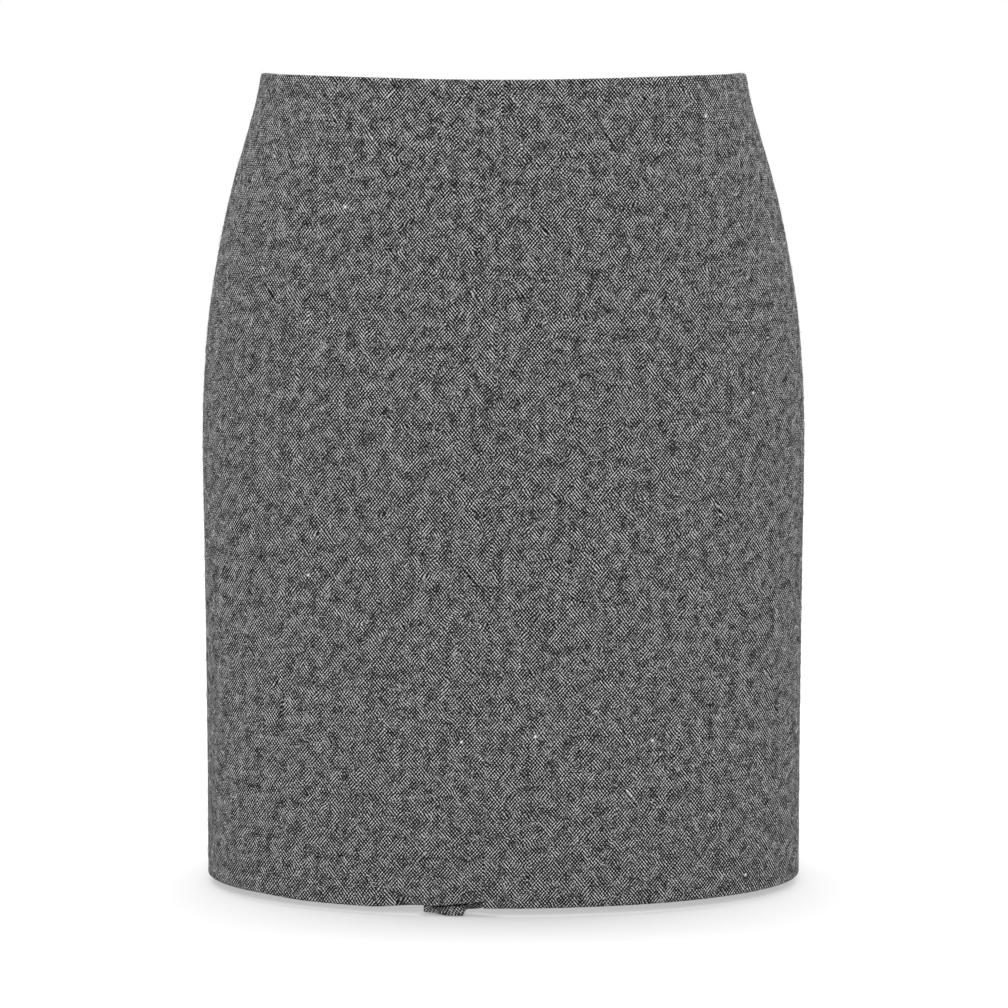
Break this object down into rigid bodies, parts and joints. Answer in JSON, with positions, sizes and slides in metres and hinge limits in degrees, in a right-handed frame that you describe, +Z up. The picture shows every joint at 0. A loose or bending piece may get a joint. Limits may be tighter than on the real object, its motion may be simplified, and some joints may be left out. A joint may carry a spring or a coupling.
{
  "type": "pencil skirt",
  "caption": "Straight pencil skirt in salt-and-pepper wool tweed, in its worn shape, open at waist and hem, with a vent in the front seam and a concealed back zip.",
  "frame": {"origin": "middle of the waist opening, level with the waist edge at the side seams", "axes": "+Z up along the skirt's length, -Y towards the front that the picture shows, +X towards the wearer's left"},
  "size_m": [0.3708, 0.2264, 0.5014],
  "materials": {
    "tweed": "woven salt-and-pepper wool, soft and matt",
    "zip_tape": "woven polyester tape, matt",
    "zip_metal": "grey enamelled zinc, satin"
  },
  "bodies": {
    "skirt": {"right_front_panel": "tweed", "left_front_panel": "tweed", "left_back_panel": "tweed", "right_back_panel": "tweed", "vent_underlap": "tweed", "left_zip_tape": "zip_tape", "right_zip_tape": "zip_tape", "zip_slider": "zip_metal"},
    "pull": {"zip_pull_tab": "zip_metal"}
  },
  "joints": [
    {"name": "pull_swing", "type": "hinge", "parent": "skirt", "child": "pull", "pos_m": [0, 0.11086, -0.0205], "axis": [1, 0, 0], "range_deg": [0, 170]}
  ]
}
